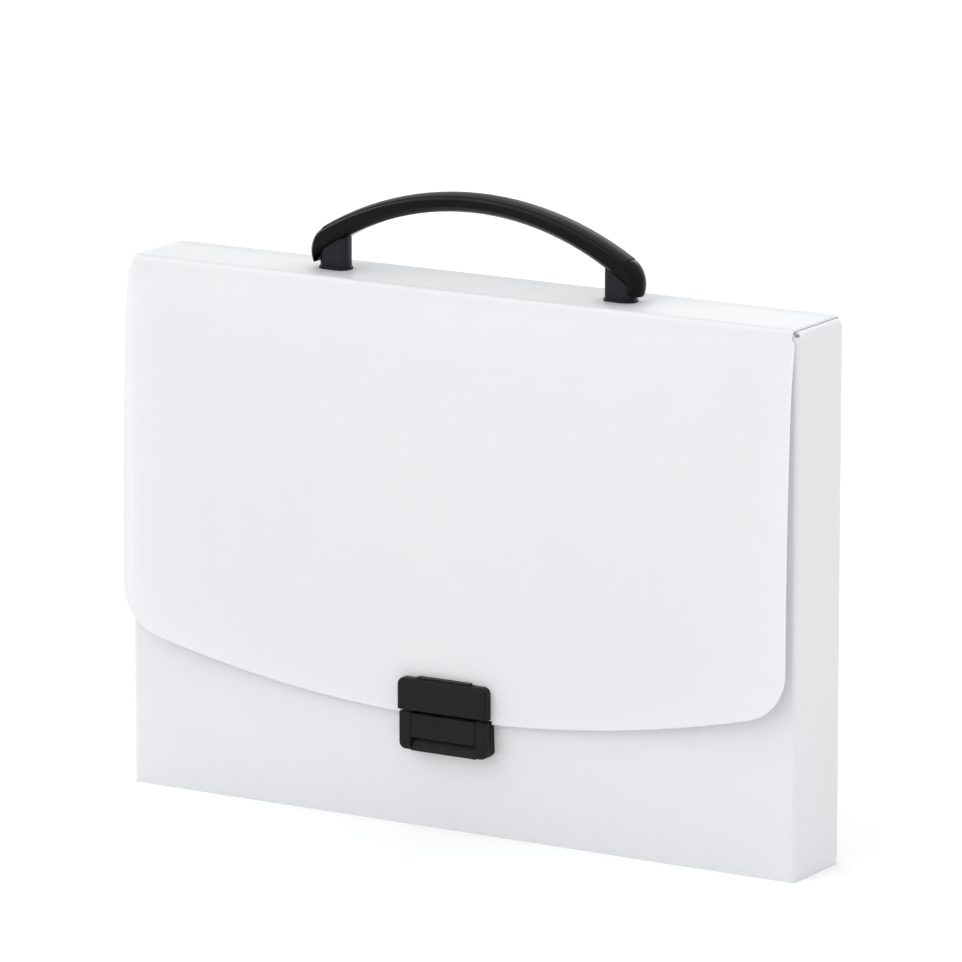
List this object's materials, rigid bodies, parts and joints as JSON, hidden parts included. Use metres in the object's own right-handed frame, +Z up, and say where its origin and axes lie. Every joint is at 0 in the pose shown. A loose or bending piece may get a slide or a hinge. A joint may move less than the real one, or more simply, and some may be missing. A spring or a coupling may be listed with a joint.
{
  "type": "document bag",
  "caption": "Translucent rigid document case with a hanging front flap, a black clip latch and an arched carrying handle on its folded lid.",
  "frame": {"origin": "centre of the base, on the surface that the case stands on", "axes": "+X along the width to the viewer's right, -Y towards the flap and latch, +Z up"},
  "size_m": [0.33, 0.052, 0.2741],
  "materials": {
    "pp_sheet": "translucent frosted sheet",
    "pp_white": "satin white",
    "gloss_black": "polished black",
    "satin_black": "satin black",
    "latch_black": "semi-gloss black",
    "steel": "zinc plated"
  },
  "bodies": {
    "case": {"front_sheet": "pp_sheet", "back_sheet": "pp_sheet", "latch_base": "latch_black", "base_backplate": "pp_white"},
    "lid": {"top_panel": "pp_sheet", "back_crease": "pp_sheet", "handle_grip": "gloss_black", "handle_inlay": "satin_black", "handle_post_left": "gloss_black", "handle_post_right": "gloss_black", "handle_plate_left": "pp_white", "handle_plate_right": "pp_white", "handle_screws": "steel"},
    "flap": {"flap_panel": "pp_sheet", "front_crease": "pp_sheet", "latch_keeper": "latch_black", "keeper_backplate": "pp_white"},
    "lever": {"latch_lever": "latch_black"},
    "dust_left": {"dust_flap_left": "pp_sheet"},
    "dust_right": {"dust_flap_right": "pp_sheet"}
  },
  "joints": [
    {"name": "lid_hinge", "type": "hinge", "parent": "case", "child": "lid", "pos_m": [0, 0.0189, 0.2339], "axis": [-1, 0, 0], "range_deg": [0, 170], "deforming": ["back_crease"]},
    {"name": "flap_hinge", "type": "hinge", "parent": "lid", "child": "flap", "pos_m": [0, -0.0202, 0.2339], "axis": [-1, 0, 0], "range_deg": [0, 175], "deforming": ["front_crease"]},
    {"name": "lever_hinge", "type": "hinge", "parent": "case", "child": "lever", "pos_m": [0, -0.0285, 0.0503], "axis": [-1, 0, 0], "range_deg": [0, 60]},
    {"name": "dust_left_hinge", "type": "hinge", "parent": "case", "child": "dust_left", "pos_m": [-0.16285, 0, 0.2327], "axis": [0, 1, 0], "range_deg": [0, 75]},
    {"name": "dust_right_hinge", "type": "hinge", "parent": "case", "child": "dust_right", "pos_m": [0.16285, 0, 0.2327], "axis": [0, -1, 0], "range_deg": [0, 75]}
  ]
}
